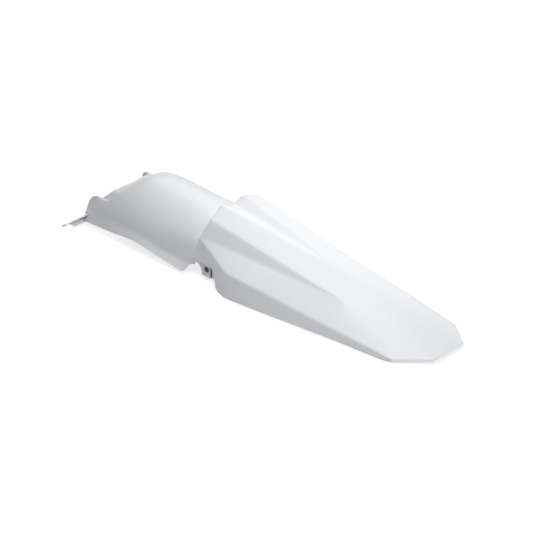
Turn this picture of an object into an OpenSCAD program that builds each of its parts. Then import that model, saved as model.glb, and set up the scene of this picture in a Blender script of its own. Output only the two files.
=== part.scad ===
// Motorcycle rear fender: a one-piece moulded shell with a faceted tail panel,
// a rounded inner arch with side flanges, two side lugs and two front tabs.
// X runs to the rear, Y to the right side and Z up. The skirt stands on Z = 0.

/* [Moulding] */
// Thickness of the shell
wall = 3; // [2:0.5:4]
// Length of the bend on each side of a crease
crease_r = 4; // [2:0.5:6]
// Length of the rolled lip along the front of the centre groove
lip = 5; // [3:0.5:8]

/* [Tail panel] */
// Length from the front edge to the trailing edge
tail_len = 509; // [480:1:600]
// Width over the two shoulder corners
shoulder_w = 232; // [216:1:260]
// Distance from the front edge back to the shoulder corners
shoulder_x = 79; // [70:1:100]
// Height of the shoulder corners
shoulder_z = 52; // [46:1:60]
// Distance from the trailing edge forward to the rear corners
corner_back = 56; // [40:1:70]
// Width over the two rear corners
corner_w = 179; // [160:1:200]
// Height of the rear corners
corner_z = 8.5; // [7:0.5:14]
// Width of the trailing edge
tip_w = 86; // [60:1:110]
// Height of the trailing edge
tip_z = 12; // [9:1:18]
// Height of the rim along the trailing edge
rim = 5; // [3:0.5:6]

/* [Centre groove] */
// Width between the two ridges at the front edge
ridge_w = 60; // [40:1:80]
// Height of the ridges at the front edge
ridge_z = 127; // [123:1:137]
// Height of the groove bottom at the front edge
valley_z = 119; // [113:1:122]
// Length of the groove
groove_len = 242; // [200:1:280]
// Height of the panel where the groove ends
groove_end_z = 82; // [78:1:88]

/* [Side steps] */
// Width over the top edges of the two steps at the front edge
step_top_w = 136; // [120:1:148]
// Height of the top edges at the front edge
step_top_z = 114; // [107:1:119]
// Width over the feet of the two steps at the front edge
step_foot_w = 172; // [156:1:184]
// Height of the feet at the front edge
step_foot_z = 82; // [75:1:89]
// Distance that the feet of the steps reach ahead of the front edge
step_foot_reach = 7; // [4:1:12]
// Length of the steps
step_len = 306; // [290:1:340]
// Width over the ends of the steps
step_end_w = 113; // [100:1:124]
// Height of the ends of the steps
step_end_z = 61; // [57:1:65]

/* [Skirt] */
// Width over the lower edges below the shoulder corners
skirt_w = 234; // [218:1:262]
// Distance from the front edge back to the front ends of the skirt
skirt_x = 44; // [42:1:54]
// Distance from the trailing edge forward to where the lower edge turns up
skirt_end_back = 75; // [70:1:100]
// Width over the lower edges where they turn up
skirt_end_w = 184; // [164:1:200]
// Height of the lower edge in the middle, where the skirt arches up a little
skirt_rise = 3.5; // [0:0.5:6]
// Height of the lower edge at the rear corners
skirt_end_z = 2.5; // [1:0.5:5]

/* [Arch] */
// Length from the tail panel's front edge to the front edge of the crown
arch_len = 255; // [240:1:290]
// Width over the feet of the side walls
arch_w = 182; // [170:1:186]
// Width over the feet of the side walls at the front
arch_front_w = 172; // [160:1:180]
// Height of the crown at its highest
crown_z = 105; // [98:1:112]
// Height of the crown at its front edge
crown_front_z = 75; // [68:1:86]
// Height of the crown where it meets the tail panel
crown_rear_z = 89; // [84:1:100]
// Distance from the crown's front edge back to its highest place
crown_top_x = 72; // [60:1:110]
// Height of the side walls' feet in the middle
foot_z = 35; // [31:1:39]
// Height of the side walls' feet at the front
foot_front_z = 26; // [22:1:30]
// Height of the side walls' feet at the rear end of the flange
foot_rear_z = 20; // [18:1:24]

/* [Flange] */
// Width of the flange at its rear end, measured across the fender
flange_rear_w = 13; // [8:1:18]
// Width of the flange at its front end, measured across the fender
flange_front_w = 7; // [5:1:12]
// Size of the fillet between flange and wall
fillet = 3; // [2:0.5:5]
// Height of the flange's outer edge at its front end
flange_front_z = 12.5; // [9:0.5:16]
// Height of the flange's outer edge in the middle
flange_z = 22.5; // [18:0.5:26]
// Height of the flange's outer edge at its rear end
flange_rear_z = 8.5; // [5:0.5:11]
// Distance from the front edge of the tail panel to the end of the flange
flange_x = 35; // [30:1:50]

/* [Ears] */
// Distance that the ears reach ahead of the crown's front edge
ear_reach = 43; // [30:1:48]
// Distance between the tops of the two ears
ear_w = 138; // [130:1:146]
// Height of the tops of the ears
ear_z = 61; // [54:1:68]
// Depth of the dips between the ears and the crown
ear_dip = 5; // [0:1:8]

/* [Side lugs] */
// Diameter of the hole in each lug, which takes the collar of a bolt
lug_bore = 12; // [8:0.5:13]
// Length of the hole
lug_depth = 14; // [9:0.5:16]
// Thickness of the lug's pad
lug_thick = 7; // [5:0.5:8]
// Width of the lug along the fender
lug_l = 20; // [17:1:24]
// Distance from the tail panel's front edge to the bolt hole
lug_x = 14; // [12:1:18]
// Height of the bolt hole
lug_z = 24; // [22:1:26]
// Height of the lugs' lower edge
lug_low_z = 8.5; // [6:0.5:12]
// Width of the slot behind each lug
slot_w = 3; // [2:0.5:5]
// Height of the roof over the pockets that the lugs hang in
window_z = 38; // [34:1:44]
// Distance from the tail panel's front edge forward to the notches in the lower edge
notch_x = 18; // [14:1:22]
// Height of the notches
notch_z = 34; // [30:1:37]

/* [Front tabs] */
// Distance between the ends of the two tabs
tab_w = 294; // [250:1:310]
// Width of each tab along the fender
tab_l = 12; // [8:1:18]
// Height of the tabs' upper face
tab_z = 21; // [17:1:25]
// Depth of the rib under each tab
rib_h = 9; // [5:1:11]
// Distance between the ends of the two ribs
rib_w = 262; // [230:1:276]
// Angle of the tabs: their rear edge is the higher one
tab_angle = 39; // [0:1:50]

/* [Hidden] */
eps = 0.01;

corner_x = tail_len - corner_back;
skirt_end_x = tail_len - skirt_end_back;
// Position along the tail from which the rows spread out to the cut corners
fan_x = corner_x - 33;
// Length of the stretch over which the steps' ends round off
blend_len = 50;

function mix(a, b, t) = a + (b - a) * t;
function clamp(t) = min(1, max(0, t));
function smooth(t) = clamp(t) * clamp(t) * (3 - 2 * clamp(t));
function unit(v) = v / max(norm(v), eps);
function at(line, x) = [
    x,
    lookup(x, [for (p = line) [p[0], p[1]]]),
    lookup(x, [for (p = line) [p[0], p[2]]])
];

// Creases of the tail panel as [distance behind the front edge, half-width, height]
valley_front = [0, 0, valley_z];
ridge_front = [-4, ridge_w / 2, ridge_z];
step_top_front = [2, step_top_w / 2, step_top_z];
step_foot_front = [-step_foot_reach, step_foot_w / 2, step_foot_z];
wall_front = [-notch_x, arch_w / 2, notch_z];
shoulder = [shoulder_x, shoulder_w / 2, shoulder_z];
corner = [corner_x, corner_w / 2, corner_z];
tip = [tail_len, tip_w / 2, tip_z - 0.5];
step_end = [step_len, step_end_w / 2, step_end_z];
outer_front = step_foot_front + [-1, 1, -crease_r];
waist = mix(shoulder, corner, 0.644) + [0, 2, 0];

// Drop of a line that starts with one slope and bends down to its end
function arc_down(x, x0, z0, x1, z1, slope) =
    let (t = x - x0, l = x1 - x0, k = (z0 - slope * l - z1) / (l * l))
    z0 - slope * t - k * t * t;

// Place along the cut corner between trailing edge and rear corner
function cut(t) = mix(tip, corner, t);
function row_x(x, x_end) =
    x <= fan_x ? x : mix(fan_x, x_end, (x - fan_x) / (tail_len - fan_x));

groove_slope = 0.16;
rear_slope = 0.17;

function valley(x) = x <= groove_len
    ? at([valley_front, [groove_len, 0, groove_end_z]], x)
    : [x, 0, arc_down(x, groove_len, groove_end_z, tail_len, tip_z, groove_slope)];

function ridge(x) = x <= groove_len
    ? at([ridge_front, [groove_len, 2, groove_end_z]], x)
    : let (p = step_top(x), c = valley(x), t = 0.35 * smooth((x - groove_len) / 120),
           f = max(t, 2 / p[1]))
      [x, p[1] * f, c[2] + (p[2] - c[2]) * f * f];

function step_top(x) = x <= step_len
    ? at([step_top_front, step_end], x)
    : let (e = cut(0.3), xr = row_x(x, e[0]), t = (xr - step_len) / (e[0] - step_len))
      [xr, mix(step_end[1], e[1], t),
       arc_down(xr, step_len, step_end_z, e[0], e[2], rear_slope)];

function outer(x) = let (xr = row_x(x, corner_x))
    at([outer_front, shoulder, waist, corner], xr);

function step_foot(x) = x <= step_len
    ? at([step_foot_front, step_end + [0, 1, -1]], x)
    : let (g = 0.05 + 0.35 * (x - step_len) / (tail_len - step_len),
           p = mix(step_top(x), outer(x), g), e = cut(0.58))
      x < tail_len ? p : mix(p, e, 1);

function middle(x) = let (a = ridge(x), b = step_top(x), t = x <= fan_x ? 0 : (x - fan_x) / (tail_len - fan_x))
    mix(mix(a, b, 0.5), tip, t * t);

// Lower edge: notch behind the arch, window over the lug, skirt and its rear end
function skirt_y(t) = mix(arch_w, skirt_w, t) / 2;
skirt_line = [
    wall_front,
    [-5, skirt_y(0.02), window_z - 2],
    [4, skirt_y(0.08), window_z],
    [skirt_x - 10, skirt_y(0.35), window_z],
    [skirt_x - 4, skirt_y(0.42), 0.8 * window_z],
    [skirt_x, skirt_y(0.46), 0.53 * window_z],
    [skirt_x + 2, skirt_y(0.5), 0.32 * window_z],
    [skirt_x + 5, skirt_y(0.54), 0.1 * window_z],
    [skirt_x + 13, skirt_y(0.65), 0.5],
    [shoulder_x, skirt_y(0.96), 0],
    [shoulder_x + 6, skirt_w / 2, 0],
    [shoulder_x + 70, skirt_w / 2 - 0.5, skirt_rise],
    [mix(shoulder_x, skirt_end_x, 0.7), mix(skirt_w, skirt_end_w, 0.7) / 2 + 2, skirt_rise],
    [skirt_end_x - 14, skirt_end_w / 2 + 1, 0],
    [skirt_end_x, skirt_end_w / 2, 0],
    [corner_x, corner_w / 2 + 0.5, skirt_end_z]
];
function lower(x) = at(skirt_line, row_x(x, corner_x));

// Bend of a crease: two points beside it and the crest between them
function bend(a, p, b, r) = let (
    ra = min(r, 0.42 * norm(a - p)), rb = min(r, 0.42 * norm(b - p)),
    u = p + ra * unit(a - p), v = p + rb * unit(b - p))
    [u, (u + 2 * p + v) / 4, v];

// Curve from a to c that turns under the corner b
function round_shoulder(a, b, c, t) = mix(mix(a, b, t), mix(b, c, t), t);

// Half a cross-section of the tail, from the lower edge to the centre line
function tail_half(x) = let (
    s = lower(x), f = outer(x), a = step_foot(x), b = step_top(x),
    m = middle(x), c = ridge(x), d = valley(x),
    creased = concat(bend(f, a, b, crease_r), [mix(a, b, 0.5)], bend(a, b, m, crease_r)),
    rear = smooth((x - step_len + 8) / blend_len),
    r_ridge = x <= groove_len ? crease_r : 2 * crease_r)
    concat(
        [s, mix(s, f, min(0.1, 2 / norm(f - s))), mix(s, f, min(0.2, 4 / norm(f - s))),
         mix(s, f, 0.38), mix(s, f, 0.7)],
        bend(mix(s, f, 0.7), f, a, crease_r),
        [for (k = [0:6]) mix(creased[k], round_shoulder(mix(b, f, 0.6), b, m, (k + 1) / 8), rear)],
        [m],
        bend(m, c, d, r_ridge),
        [let (q = bend(c, d, [d[0], -c[1], c[2]], crease_r)) q[0],
         let (q = bend(c, d, [d[0], -c[1], c[2]], crease_r)) q[1]]
    );

// Rows of the tail: the first follow the swept front edge
sweep_len = skirt_x - 10;
function spread(a, b, shares) = [for (t = shares) mix(a, b, t)];
tail_rows = concat(
    spread(0, sweep_len, [0, 0.23, 0.49, 0.74, 1]),
    spread(skirt_x, shoulder_x, [-0.12, 0.03, 0.12, 0.24, 0.44, 0.72]),
    spread(shoulder_x, groove_len, [0, 0.1, 0.22, 0.36, 0.51, 0.67, 0.83]),
    spread(groove_len, step_len, [0, 0.3, 0.58, 0.8]),
    spread(step_len, fan_x, [0, 0.13, 0.28, 0.48, 0.72]),
    spread(fan_x, tail_len, [0, 0.28, 0.54, 0.79, 1]));
front_half = let (
    s = wall_front, f = outer_front,
    a = step_foot_front, b = step_top_front, c = ridge_front, d = valley_front,
    m = mix(b, c, 0.5))
    concat(
        [s, mix(s, f, 0.05), mix(s, f, 0.1), mix(s, f, 0.38), mix(s, f, 0.7)],
        bend(mix(s, f, 0.7), f, a, crease_r),
        bend(f, a, b, crease_r),
        [mix(a, b, 0.5)],
        bend(a, b, m, crease_r),
        [m],
        bend(m, c, d, crease_r),
        [let (q = bend(c, d, [0, -c[1], c[2]], crease_r)) q[0],
         let (q = bend(c, d, [0, -c[1], c[2]], crease_r)) q[1]]
    );
half_n = len(front_half);

// Sizes of the arch's cross-section along its length
arch_front_x = -arch_len;
function crown(x) = let (top = arch_front_x + crown_top_x)
    x < top ? crown_z - (crown_z - crown_front_z) * pow(min(1, (top - x) / crown_top_x), 2.6)
            : crown_z - (crown_z - crown_rear_z) * pow((x - top) / -top, 1.05);
foot_line = [
    [arch_front_x - ear_reach, arch_front_w / 2, foot_front_z],
    [arch_front_x + 5, arch_w / 2 - 3, foot_z - 2],
    [-0.75 * arch_len, arch_w / 2 - 1, foot_z],
    [-0.6 * arch_len, arch_w / 2, foot_z],
    [-0.43 * arch_len, arch_w / 2, mix(foot_z, foot_rear_z, 0.6)],
    [-flange_x, arch_w / 2, foot_rear_z],
    [-flange_x + 6, arch_w / 2, foot_rear_z + 2],
    [-notch_x - 2, arch_w / 2 - 0.5, foot_rear_z + 7],
    [-notch_x - 1, arch_w / 2 - 1, notch_z - 1]
];
base_line = [
    [arch_front_x - ear_reach, 0, foot_front_z],
    [arch_front_x + 5, 0, foot_z - 2],
    [-0.6 * arch_len, 0, foot_z],
    [-0.31 * arch_len, 0, mix(foot_z, foot_rear_z, 0.5)],
    [0, 0, mix(foot_z, foot_rear_z, 0.5)]
];
// Outer edge of the flange, with its rounded rear end
flange_line = [
    [arch_front_x - ear_reach, arch_front_w / 2 + flange_front_w, flange_front_z],
    [arch_front_x - 3, arch_w / 2 + 5, flange_front_z + 3],
    [-0.8 * arch_len, arch_w / 2 + 8, flange_z - 3.5],
    [-0.7 * arch_len, arch_w / 2 + 9, flange_z],
    [-0.6 * arch_len, arch_w / 2 + 10, flange_z],
    [-flange_x - 6, arch_w / 2 + flange_rear_w, flange_rear_z],
    [-flange_x + 1, arch_w / 2 + flange_rear_w - 1, flange_rear_z],
    [-flange_x + 2, arch_w / 2 + flange_rear_w - 5, flange_rear_z + 4],
    [-flange_x + 4, arch_w / 2 + 2, foot_rear_z - 2],
    [-notch_x - 2, arch_w / 2, foot_rear_z + 4],
    [-notch_x - 1, arch_w / 2, notch_z - 4]
];
// Front edge with its ears as [angle around the arch, half-width, height, reach ahead]
front_edge = [
    [0, arch_front_w / 2, foot_front_z, 0.95 * ear_reach],
    [10, arch_front_w / 2 - 6, foot_front_z + 11, ear_reach],
    [20, ear_w / 2 + 4.5, foot_front_z + 22, ear_reach],
    [27, ear_w / 2 + 2, ear_z - 3, 0.86 * ear_reach],
    [35, ear_w / 2, ear_z, 0.65 * ear_reach],
    [46, ear_w / 2 - 8, ear_z - ear_dip, 0.46 * ear_reach],
    [54, ear_w / 2 - 13, crown_front_z - 5.5, 0.17 * ear_reach],
    [61, ear_w / 2 - 20, crown_front_z - 1, 0.08 * ear_reach],
    [75, 0.16 * ear_w, crown_front_z, 0.05 * ear_reach],
    [90, 0, crown_front_z, 0]
];
function front_size(t, k) = lookup(t, [for (p = front_edge) [p[0], p[k]]]);
function reach(t) = front_size(t, 3);

// Roundness of the arch: 1 is an ellipse and smaller values are more square
function roundness(x) = lookup(-x / arch_len, [[0.12, 0.8], [0.39, 0.93], [0.78, 0.93], [1, 0.87]]);

// Points of the arch: a rounded section that changes into the front edge
function arch_point(x, t) = let (
    a = at(foot_line, x)[1], z0 = at(base_line, x)[2], k = roundness(x),
    s = smooth((x - arch_front_x + reach(t)) / ear_reach))
    [x, mix(front_size(t, 1), a * pow(cos(t), k), s),
     mix(front_size(t, 2), z0 + (crown(x) - z0) * pow(sin(t), k), s)];

// Angle around the arch that lies under a point of the tail's front edge
function angle_under(p) = let (
    a = at(foot_line, p[0])[1], z0 = at(base_line, p[0])[2], k = roundness(p[0]))
    min(90, atan2(pow(max(0, p[2] - z0) / (crown(p[0]) - z0), 1 / k), pow(max(0, p[1]) / a, 1 / k)));

function lip_at(j) = let (p = front_half[j])
    lip * (1 - 0.8 * smooth(2 * p[1] / ridge_w - 1));

// Column j of the arch at the share f of its length
function arch_column(j, f) = let (
    p = front_half[j], t_rear = j < 3 ? 0 : angle_under(p),
    t_even = 90 * (j - 2) / (half_n - 3),
    t = j < 3 ? 0 : mix(t_even, t_rear, smooth((f - 0.55) / 0.45)),
    x0 = arch_front_x - reach(t), x1 = p[0] - lip_at(j) - 1,
    x = mix(x0, x1, f), edge = at(flange_line, x), foot = at(foot_line, x))
    j == 0 ? edge
        : j == 1 ? mix(foot, edge, min(0.5, fillet / norm(edge - foot)))
        : j == 2 ? foot + [0, -0.1, 1] * fillet * smooth(2 * norm(edge - foot) / fillet - 1)
        : arch_point(x, t);

arch_rows = [0, 0.025, 0.055, 0.09, 0.13, 0.18, 0.24, 0.31, 0.38, 0.46, 0.54, 0.62, 0.7,
             0.78, 0.85, 0.9, 0.936, 0.951, 0.966, 0.985, 1];

half_rows = concat(
    [for (f = arch_rows) [for (j = [0:half_n - 1]) arch_column(j, f)]],
    [[for (j = [0:half_n - 1]) front_half[j] - [lip_at(j), 0, lip_at(j) / 2]]],
    [for (x = tail_rows) x < sweep_len
        ? let (e = tail_half(sweep_len))
          [for (j = [0:half_n - 1]) mix(front_half[j], e[j], x / sweep_len)]
        : tail_half(x)]
);

// Both halves of each row, from the left lower edge over the top to the right one
skin = [for (h = half_rows) concat(
    [for (p = h) [p[0], -p[1], p[2]]],
    [for (j = [half_n - 2:-1:0]) h[j]])];
rows = len(skin);
cols = len(skin[0]);

function quad_normal(i, j) = i < 0 || j < 0 || i > rows - 2 || j > cols - 2 ? [0, 0, 0]
    : unit(cross(skin[i + 1][j + 1] - skin[i][j], skin[i][j + 1] - skin[i + 1][j]));
normals = [for (i = [0:rows - 2]) [for (j = [0:cols - 2]) quad_normal(i, j)]];
function normal_of(i, j) = i < 0 || j < 0 || i > rows - 2 || j > cols - 2 ? [0, 0, 0] : normals[i][j];

// Inner skin: each point moves in until it lies one wall below the faces around it,
// and along the trailing edge it drops by the height of the rim
function solve(m, v) = let (d = m[0] * cross(m[1], m[2]))
    [v * cross(m[1], m[2]), v * cross(m[2], m[0]), v * cross(m[0], m[1])] / d;
function outer_product(n) = [n * n[0], n * n[1], n * n[2]];
function inset(i, j) = let (
    ns = [for (k = [-1, 0]) for (l = [-1, 0]) normal_of(i + k, j + l)],
    s = ns[0] + ns[1] + ns[2] + ns[3],
    m = outer_product(ns[0]) + outer_product(ns[1]) + outer_product(ns[2])
        + outer_product(ns[3]) + 0.06 * [[1, 0, 0], [0, 1, 0], [0, 0, 1]],
    v = solve(m, s) * -wall)
    i == rows - 1 && j > 3 && j < cols - 4 ? [0, 0, -rim]
        : (j == 0 || j == cols - 1) && skin[i][j][0] > 0 ? [v[0], v[1], max(0, v[2])] : v;
lining = [for (i = [0:rows - 1]) [for (j = [0:cols - 1]) skin[i][j] + inset(i, j)]];

function id(i, j) = i * cols + j;
function side(i, j, k) = k * rows * cols + id(i, j);
// Two triangles of a grid cell, split along its shorter diagonal
function cell(i, j, k) = let (
    a = side(i, j, k), b = side(i, j + 1, k), c = side(i + 1, j + 1, k), d = side(i + 1, j, k),
    ac = norm(skin[i][j] - skin[i + 1][j + 1]), bd = norm(skin[i][j + 1] - skin[i + 1][j]),
    left = j < (cols - 1) / 2, first = ac < bd - eps || (left && ac < bd + eps),
    t = first ? [[a, b, c], [a, c, d]] : [[a, b, d], [b, c, d]])
    k == 0 ? t : [for (f = t) [f[2], f[1], f[0]]];
function strip(a, b, c, d) = [[a, b, c], [a, c, d]];

module shell() {
    points = concat([for (r = skin) for (p = r) p], [for (r = lining) for (p = r) p]);
    faces = concat(
        [for (k = [0, 1]) for (i = [0:rows - 2]) for (j = [0:cols - 2]) each cell(i, j, k)],
        [for (i = [0:rows - 2]) each strip(side(i, 0, 0), side(i + 1, 0, 0), side(i + 1, 0, 1), side(i, 0, 1))],
        [for (i = [0:rows - 2]) each strip(side(i + 1, cols - 1, 0), side(i, cols - 1, 0),
                                           side(i, cols - 1, 1), side(i + 1, cols - 1, 1))],
        [for (j = [0:cols - 2]) each strip(side(0, j + 1, 0), side(0, j, 0), side(0, j, 1), side(0, j + 1, 1))],
        [for (j = [0:cols - 2]) each strip(side(rows - 1, j, 0), side(rows - 1, j + 1, 0),
                                           side(rows - 1, j + 1, 1), side(rows - 1, j, 1))]
    );
    polyhedron(points, faces);
}

// One side lug: a pad with a boss for the hole, hung from the roof of its pocket, and the
// fin beside it that a web and an angled return join to the pad and to the skirt
module lug() {
    face_y = arch_w / 2;
    back_y = face_y - lug_thick;
    rear_x = skirt_x - 2;
    outer_y = at(skirt_line, rear_x)[1];
    fin_x = lug_x + lug_l / 2 + slot_w;
    web_x = lug_x + lug_bore / 2 + 1;
    web_z = lug_low_z + 3;
    roof_z = window_z + wall;
    difference() {
        union() {
            translate([lug_x, -back_y, 0])
                rotate([90, 0, 0])
                    linear_extrude(lug_thick)
                        polygon([
                            [lug_l / 2, lug_low_z], [lug_l / 2, roof_z],
                            [-lug_x - notch_x + 1, roof_z], [-lug_x - notch_x, notch_z - 1],
                            [-lug_l / 2 - 9, lug_z + 5], [-lug_l / 2 - 4, lug_z - 1],
                            [-lug_l / 2 - 1, lug_low_z + 6], [-lug_l / 2, lug_low_z + 1]]);
            translate([lug_x, lug_depth - face_y, lug_z])
                rotate([90, 0, 0])
                    cylinder(d = lug_bore + 2 * wall, h = lug_depth - 1, $fn = 48);
            translate([web_x, -back_y - 1, web_z])
                cube([rear_x - web_x, wall + 1, roof_z - web_z]);
            translate([fin_x, -face_y + 1.5, lug_low_z + 1])
                cube([rear_x - fin_x, lug_thick, roof_z - lug_low_z - 1]);
            translate([0, 0, window_z])
                linear_extrude(wall)
                    polygon([[lug_x - lug_l / 2, -back_y + wall], [rear_x, -back_y + wall],
                             [rear_x, -outer_y + 1], [lug_x - lug_l / 2, -face_y - 1]]);
            translate([0, 0, web_z])
                linear_extrude(roof_z - web_z)
                    polygon([[rear_x - wall, -back_y], [rear_x, -back_y],
                             [rear_x + 8, -outer_y], [rear_x + 5, -outer_y]]);
        }
        translate([lug_x, lug_depth - face_y + 5, lug_z])
            rotate([90, 0, 0])
                cylinder(d = lug_bore, h = lug_depth + 10, $fn = 48);
    }
}

// One front tab with the rib under it
module tab() {
    front_x = arch_front_x - ear_reach - 1 + wall * sin(tab_angle);
    root_y = arch_front_w / 2 - 2;
    low_z = tab_z - wall - rib_h;
    translate([front_x, -tab_w / 2, tab_z - wall])
        rotate([0, -tab_angle, 0])
            cube([tab_l, tab_w / 2 - root_y, wall]);
    translate([front_x, 0, 0])
        rotate([90, 0, 90])
            linear_extrude(wall)
                polygon([[-root_y, tab_z - 2], [-rib_w / 2, tab_z - 2],
                         [-rib_w / 2 + 1.5 * rib_h, low_z], [-root_y - 3, low_z]]);
}

module rear_fender() {
    x_mid = (tail_len + arch_front_x - ear_reach - 1) / 2;
    color("white")
        translate([-x_mid, 0, 0]) {
            shell();
            for (s = [0, 1]) mirror([0, s, 0]) {
                lug();
                tab();
            }
        }
}

rear_fender();
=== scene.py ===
"""A white moulded motorcycle rear fender on a plain white studio floor.

All lengths are metres, in the CAD model's frame.
"""
from math import radians

import bpy
from mathutils import Matrix, Vector

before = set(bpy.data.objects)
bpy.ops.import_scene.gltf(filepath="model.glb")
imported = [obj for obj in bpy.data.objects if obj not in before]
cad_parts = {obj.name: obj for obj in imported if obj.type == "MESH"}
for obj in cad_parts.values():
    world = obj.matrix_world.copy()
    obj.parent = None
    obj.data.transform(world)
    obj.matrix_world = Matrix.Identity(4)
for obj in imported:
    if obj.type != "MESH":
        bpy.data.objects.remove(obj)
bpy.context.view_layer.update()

# Camera: where it stands, its axes to the right and up, and its lens and sensor in millimetres
CAMERA_AT = Vector((3.6301, -4.31466, 3.06819))
CAMERA_RIGHT = Vector((0.75413, 0.65606, 0.02963))
CAMERA_UP = Vector((-0.33259, 0.34263, 0.87863))
SENSOR = 36.0
LENS = 229.09
FARTHEST_SEEN = 100.0

# Floor: its colour as it lights the fender, and the grey plus glow that are seen of it.
# The glow rises from the first value near the fender to the second from FLOOR_EVEN outwards.
FLOOR_SIZE = 24.0
FLOOR_COLOUR = (0.86, 0.86, 0.865, 1)
FLOOR_GREY = (0.55, 0.55, 0.55, 1)
FLOOR_GLOW = (0.76, 1.0)
FLOOR_NEAR = 0.45
FLOOR_EVEN = 1.15

# Light: the surroundings as they light the fender and as they are seen, and the lamps
WHITE = (1, 1, 1, 1)
WORLD_LIGHT = 0.02
WORLD_SEEN = 1.0
LAMP_TARGET = Vector((0, 0, 0.05))
LAMPS = [  # name, place, width, power in watts
    ("near_side", (0.2, -0.5, 1.3), 0.9, 10.0),
    ("over", (0.12, 0.15, 0.8), 0.6, 2.2),
    ("far_front", (-1.1, 1.3, 1.1), 0.9, 5.8),
    ("far_low", (-0.4, 1.5, 0.5), 0.9, 2.5),
    ("low_rear", (1.6, -0.1, 0.12), 0.5, 9.9),
]

# Plastic: its clouded white, its paler worn edges and the shade painted into its recesses
PLASTIC_DARK = (0.80, 0.812, 0.836, 1)
PLASTIC_LIGHT = (0.85, 0.862, 0.884, 1)
PLASTIC_EDGE = (0.88, 0.886, 0.895, 1)
PLASTIC_PAINTED_SHADE = (0.42, 0.43, 0.45, 1)
PLASTIC_IOR = 1.49

# Unevenness: the scale is how many times a metre it repeats
CLOUDS = {"Scale": 7.0, "Detail": 3.0, "Roughness": 0.55}
MOTTLE = {"Scale": 55.0, "Detail": 4.0, "Roughness": 0.6}
RIPPLE = {"Scale": 30.0, "Detail": 1.0}
GRAIN = {"Scale": 1400.0, "Detail": 2.0, "Roughness": 0.5}
RIPPLE_BUMP = {"Strength": 0.25, "Distance": 0.0006}
GRAIN_BUMP = {"Strength": 0.3, "Distance": 0.0003}

# Roughness: its least value, what the mottle adds, and what a polished edge takes off
SMOOTHEST = 0.30
MOTTLE_ROUGHNESS = 0.16
EDGE_POLISH = 0.08

# Edges: the radius of the cut edges, how far wear reaches, how fast it grows with the bend
# and how much of the edge colour it shows
EDGE_ROUND = 0.0006
EDGE_WEAR = 0.0025
WEAR_SAMPLES = 6
WEAR_GROWTH = 5.0
WEAR_PALENESS = 0.6

# Painted shade in recesses: how far the walls around are felt, and the open share where the painted
# darkening starts and is full
RECESS_REACH = 0.02
RECESS_SAMPLES = 8
RECESS_START = 0.8
RECESS_FULL = 0.2

# Shading: edges sharper than this angle stay sharp, and corners nearer than this are one
SHARP_EDGE = radians(38)
SAME_CORNER = 1e-5

# Sockets of the mix node when it mixes colours
MIX_SHARE, MIX_FIRST, MIX_SECOND, MIX_RESULT = 0, 6, 7, 2


def feed(tree, socket, value):
    """Links the socket to another node's output, or gives it a value of its own."""
    if isinstance(value, bpy.types.NodeSocket):
        tree.links.new(value, socket)
    else:
        socket.default_value = value


def shader(tree, kind, **inputs):
    """A new node with its named inputs fed; underscores stand for spaces."""
    node = tree.nodes.new(kind)
    for name, value in inputs.items():
        feed(tree, node.inputs[name.replace("_", " ")], value)
    return node


def math_node(tree, operation, *values, kind="ShaderNodeMath"):
    """A new node that works out one operation on its values in turn."""
    node = tree.nodes.new(kind)
    node.operation = operation
    for socket, value in zip(node.inputs, values):
        feed(tree, socket, value)
    return node


def number(tree, operation, *values):
    return math_node(tree, operation, *values).outputs[0]


def vector_number(tree, operation, *vectors):
    return math_node(tree, operation, *vectors, kind="ShaderNodeVectorMath").outputs["Value"]


def mixed_colour(tree, share, first, second):
    """The first colour where the share is 0, the second where it is 1."""
    node = tree.nodes.new("ShaderNodeMix")
    node.data_type = "RGBA"
    feed(tree, node.inputs[MIX_SHARE], share)
    feed(tree, node.inputs[MIX_FIRST], first)
    feed(tree, node.inputs[MIX_SECOND], second)
    return node.outputs[MIX_RESULT]


def new_material(name):
    material = bpy.data.materials.new(name)
    material.use_nodes = True
    tree = material.node_tree
    tree.nodes.clear()
    return material, tree, tree.nodes.new("ShaderNodeOutputMaterial")


def worn_edges(tree):
    """1 where the surface bends sharply and handling has polished it, 0 on the flat."""
    rounded = shader(tree, "ShaderNodeBevel", Radius=EDGE_WEAR)
    rounded.samples = WEAR_SAMPLES
    flat = tree.nodes.new("ShaderNodeNewGeometry")
    likeness = vector_number(tree, "DOT_PRODUCT", rounded.outputs["Normal"], flat.outputs["Normal"])
    bend = number(tree, "SUBTRACT", 1.0, likeness)
    strong = number(tree, "MULTIPLY", bend, WEAR_GROWTH)
    return number(tree, "MINIMUM", strong, 1.0)


def painted_recess_shade(tree):
    """1 in holes and slots, where shade is painted into the colour, 0 on open surfaces and in shallow
    creases.
    """
    open_share = shader(tree, "ShaderNodeAmbientOcclusion", Distance=RECESS_REACH)
    open_share.only_local = True
    open_share.samples = RECESS_SAMPLES
    depth = shader(tree, "ShaderNodeMapRange", Value=open_share.outputs["AO"],
                   From_Min=RECESS_START, From_Max=RECESS_FULL)
    return depth.outputs["Result"]


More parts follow.
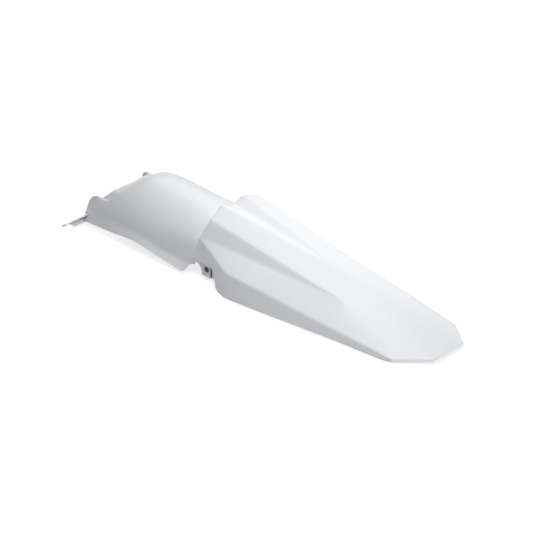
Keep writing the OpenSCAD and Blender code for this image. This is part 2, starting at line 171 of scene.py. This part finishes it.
def plastic():
    """White moulded polypropylene.

    Its white is faintly clouded, its skin has a fine moulded grain and an uneven gloss, its edges
    are polished and shade is painted into its recesses.
    """
    material, tree, out = new_material("white_plastic")
    place = tree.nodes.new("ShaderNodeTexCoord").outputs["Object"]
    clouds = shader(tree, "ShaderNodeTexNoise", Vector=place, **CLOUDS)
    mottle = shader(tree, "ShaderNodeTexNoise", Vector=place, **MOTTLE)
    grain = shader(tree, "ShaderNodeTexNoise", Vector=place, **GRAIN)
    ripple = shader(tree, "ShaderNodeTexNoise", Vector=place, **RIPPLE)
    edges = worn_edges(tree)

    body = mixed_colour(tree, clouds.outputs["Fac"], PLASTIC_DARK, PLASTIC_LIGHT)
    paleness = number(tree, "MULTIPLY", edges, WEAR_PALENESS)
    worn = mixed_colour(tree, paleness, body, PLASTIC_EDGE)
    # painted shade: the colour darkens towards a dark grey in holes and slots
    colour = mixed_colour(tree, painted_recess_shade(tree), worn, PLASTIC_PAINTED_SHADE)

    uneven = number(tree, "MULTIPLY_ADD", mottle.outputs["Fac"], MOTTLE_ROUGHNESS, SMOOTHEST)
    polish = number(tree, "MULTIPLY", edges, EDGE_POLISH)
    roughness = number(tree, "SUBTRACT", uneven, polish)

    cut_edges = shader(tree, "ShaderNodeBevel", Radius=EDGE_ROUND)
    waves = shader(tree, "ShaderNodeBump", Height=ripple.outputs["Fac"],
                   Normal=cut_edges.outputs["Normal"], **RIPPLE_BUMP)
    grained = shader(tree, "ShaderNodeBump", Height=grain.outputs["Fac"],
                     Normal=waves.outputs["Normal"], **GRAIN_BUMP)

    skin = shader(tree, "ShaderNodeBsdfPrincipled", Base_Color=colour, Roughness=roughness,
                  Normal=grained.outputs["Normal"], IOR=PLASTIC_IOR)
    tree.links.new(skin.outputs["BSDF"], out.inputs["Surface"])
    return material


def seen_directly(tree):
    """1 for the camera's rays and for those that gloss or glass sends on, else 0."""
    path = tree.nodes.new("ShaderNodeLightPath")
    straight = number(tree, "MAXIMUM", path.outputs["Is Camera Ray"], path.outputs["Is Glossy Ray"])
    return number(tree, "MAXIMUM", straight, path.outputs["Is Transmission Ray"])


def lit_or_seen(tree, lighting, seen):
    """The first shader for the light that reaches the fender, the second where it is seen."""
    pick = shader(tree, "ShaderNodeMixShader", Fac=seen_directly(tree))
    tree.links.new(lighting.outputs[0], pick.inputs[1])
    tree.links.new(seen.outputs[0], pick.inputs[2])
    return pick.outputs[0]


def floor_white():
    """A matt white that is seen as even white around the fender and keeps its shadow."""
    material, tree, out = new_material("floor")
    matt = shader(tree, "ShaderNodeBsdfDiffuse", Color=FLOOR_COLOUR)
    shadowed = shader(tree, "ShaderNodeBsdfDiffuse", Color=FLOOR_GREY)
    place = tree.nodes.new("ShaderNodeNewGeometry").outputs["Position"]
    away = vector_number(tree, "LENGTH", place)
    glow_near, glow_even = FLOOR_GLOW
    spread = shader(tree, "ShaderNodeMapRange", Value=away, From_Min=FLOOR_NEAR, From_Max=FLOOR_EVEN,
                    To_Min=glow_near, To_Max=glow_even)
    glow = shader(tree, "ShaderNodeEmission", Strength=spread.outputs["Result"])
    shown = tree.nodes.new("ShaderNodeAddShader")
    tree.links.new(shadowed.outputs[0], shown.inputs[0])
    tree.links.new(glow.outputs[0], shown.inputs[1])
    tree.links.new(lit_or_seen(tree, matt, shown), out.inputs["Surface"])
    return material


def make_floor():
    bpy.ops.mesh.primitive_plane_add(size=FLOOR_SIZE)
    floor = bpy.context.object
    floor.name = "floor"
    floor.data.materials.append(floor_white())


def make_world():
    world = bpy.data.worlds.new("studio")
    bpy.context.scene.world = world
    world.use_nodes = True
    tree = world.node_tree
    tree.nodes.clear()
    dim = shader(tree, "ShaderNodeBackground", Color=WHITE, Strength=WORLD_LIGHT)
    bright = shader(tree, "ShaderNodeBackground", Color=WHITE, Strength=WORLD_SEEN)
    out = tree.nodes.new("ShaderNodeOutputWorld")
    tree.links.new(lit_or_seen(tree, dim, bright), out.inputs["Surface"])


def area_light(name, place, width, power):
    """A round soft lamp that points at the fender."""
    data = bpy.data.lights.new(name, "AREA")
    data.shape = "DISK"
    data.size = width
    data.energy = power
    lamp = bpy.data.objects.new(name, data)
    lamp.location = place
    lamp.rotation_euler = (LAMP_TARGET - lamp.location).to_track_quat("-Z", "Y").to_euler()
    bpy.context.scene.collection.objects.link(lamp)


def make_camera():
    data = bpy.data.cameras.new("camera")
    data.sensor_width = SENSOR
    data.lens = LENS
    data.clip_end = FARTHEST_SEEN
    camera = bpy.data.objects.new("camera", data)
    back = CAMERA_RIGHT.cross(CAMERA_UP)
    axes = Matrix((CAMERA_RIGHT, CAMERA_UP, back)).transposed()
    camera.matrix_world = Matrix.Translation(CAMERA_AT) @ axes.to_4x4()
    bpy.context.scene.collection.objects.link(camera)
    bpy.context.scene.camera = camera


def smooth_shading(piece):
    """Joins the triangles' shared corners and shades them as one surface, except over sharp edges."""
    piece.data.shade_smooth()
    if "custom_normal" in piece.data.attributes:
        piece.data.attributes.remove(piece.data.attributes["custom_normal"])
    group = bpy.data.node_groups.new("smooth_by_angle", "GeometryNodeTree")
    group.interface.new_socket("Geometry", in_out="INPUT", socket_type="NodeSocketGeometry")
    group.interface.new_socket("Geometry", in_out="OUTPUT", socket_type="NodeSocketGeometry")
    start = group.nodes.new("NodeGroupInput")
    end = group.nodes.new("NodeGroupOutput")
    joined = shader(group, "GeometryNodeMergeByDistance", Geometry=start.outputs[0], Distance=SAME_CORNER)
    angle = group.nodes.new("GeometryNodeInputMeshEdgeAngle")
    sharp = shader(group, "FunctionNodeCompare", A=angle.outputs["Unsigned Angle"], B=SHARP_EDGE)
    shaded = shader(group, "GeometryNodeSetShadeSmooth", Geometry=joined.outputs["Geometry"],
                    Selection=sharp.outputs[0], Shade_Smooth=False)
    shaded.domain = "EDGE"
    group.links.new(shaded.outputs["Geometry"], end.inputs[0])
    piece.modifiers.new("smooth_by_angle", "NODES").node_group = group
    weighted = piece.modifiers.new("weighted_normals", "WEIGHTED_NORMAL")
    weighted.keep_sharp = True


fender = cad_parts["rear_fender"]
smooth_shading(fender)
fender.data.materials.clear()
fender.data.materials.append(plastic())

make_floor()
make_world()
for lamp in LAMPS:
    area_light(*lamp)
make_camera()
bpy.context.scene.view_settings.view_transform = "Standard"
